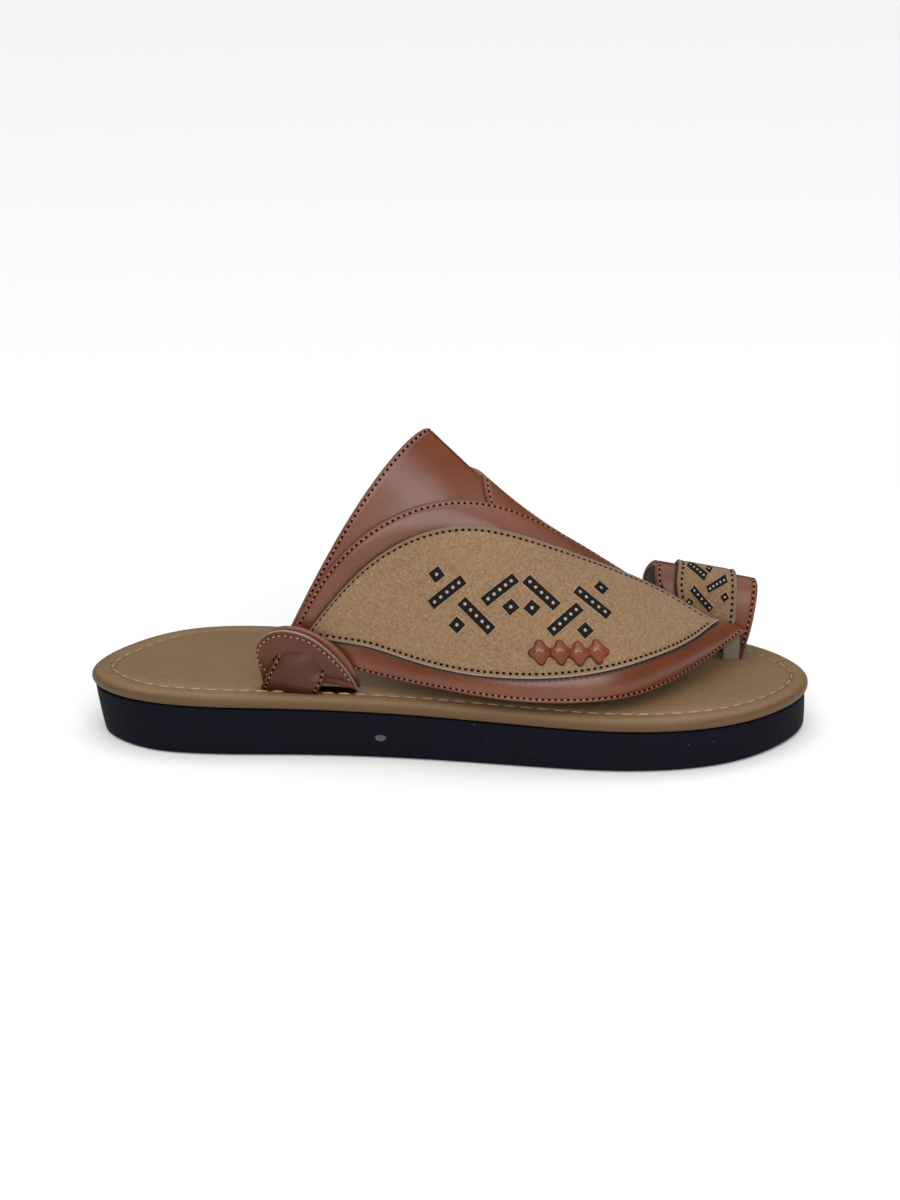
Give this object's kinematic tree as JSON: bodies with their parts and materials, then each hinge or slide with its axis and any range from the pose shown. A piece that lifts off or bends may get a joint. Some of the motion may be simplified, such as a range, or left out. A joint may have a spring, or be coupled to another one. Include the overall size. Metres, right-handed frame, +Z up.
{
  "type": "arabic sandal",
  "caption": "Backless Gulf sandal for the right foot: foam sole, rolled padded footbed, crossed leather instep straps with a suede-finish panel, strap keepers and a big-toe loop.",
  "frame": {"origin": "floor plane, under the middle of the sandal's bounding box", "axes": "+X from heel to toe, +Y to the inner (big toe) side, +Z up"},
  "size_m": [0.2773, 0.0967, 0.1196],
  "materials": {
    "outsole": "matt moulded foam rubber, navy black",
    "footbed": "satin tan leather, padded, stitched near the edge",
    "strap_leather": "semi-gloss reddish brown leather with fine grain",
    "nubuck": "matt tan nubuck",
    "lining": "matt grey-green lining leather",
    "thread": "waxed sewing thread",
    "inlay": "dark brown leather strips set in the nubuck",
    "stud": "small silver dots on the strips"
  },
  "bodies": {
    "root": {"outsole": "outsole", "footbed": "footbed", "upper": "strap_leather", "lateral_overlay": "nubuck", "toe_loop": "strap_leather", "toe_loop_overlay": "nubuck", "lateral_keeper": "strap_leather", "medial_keeper": "strap_leather", "knot_1": "strap_leather", "knot_2": "strap_leather", "knot_3": "strap_leather", "knot_4": "strap_leather"}
  },
  "joints": []
}
